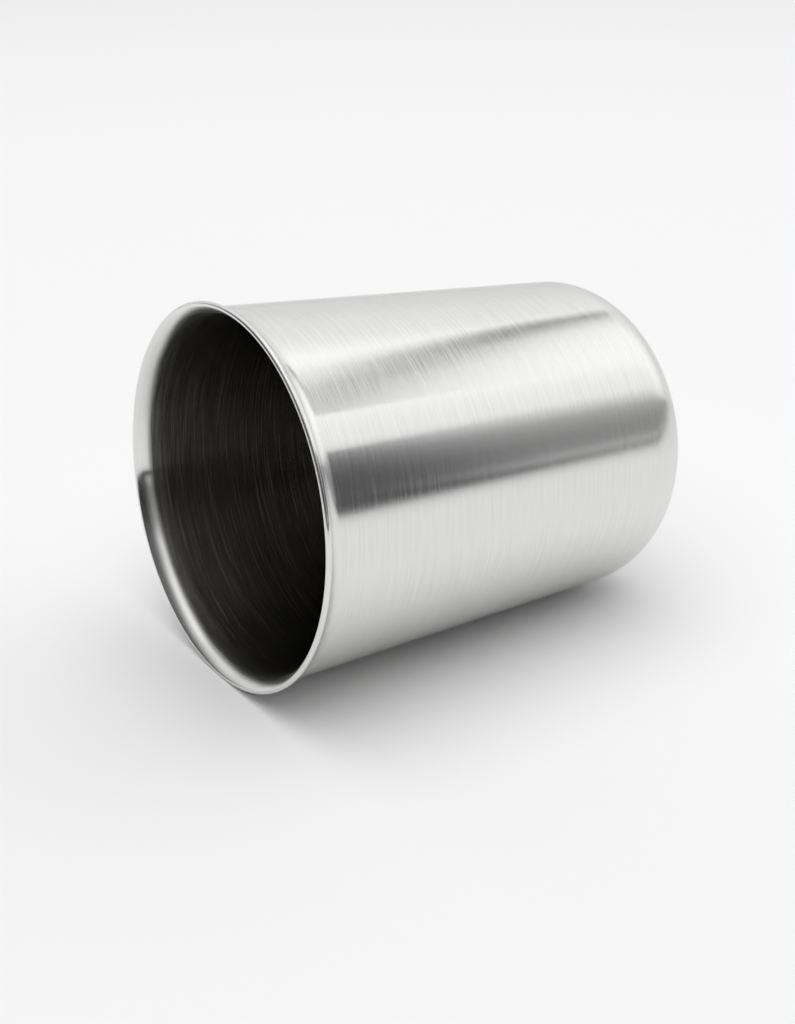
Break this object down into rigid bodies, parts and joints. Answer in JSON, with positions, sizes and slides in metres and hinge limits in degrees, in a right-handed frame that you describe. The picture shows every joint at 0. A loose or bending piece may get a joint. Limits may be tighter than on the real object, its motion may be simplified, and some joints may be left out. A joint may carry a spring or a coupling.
{
  "type": "deep drawn metal cup",
  "caption": "Deep drawn brushed steel cup with a slightly tapered wall, a large rounded bottom corner and a flared lip.",
  "frame": {"origin": "centre of the underside of the flat base, which the cup stands on", "axes": "+Z along the cup's axis, from the base towards the open mouth; the cup is round, so +X and +Y are free"},
  "size_m": [0.08, 0.08, 0.1],
  "materials": {
    "steel": "stainless steel, brushed round the cup, outside satin and inside finer"
  },
  "bodies": {
    "root": {"cup": "steel"}
  },
  "joints": []
}
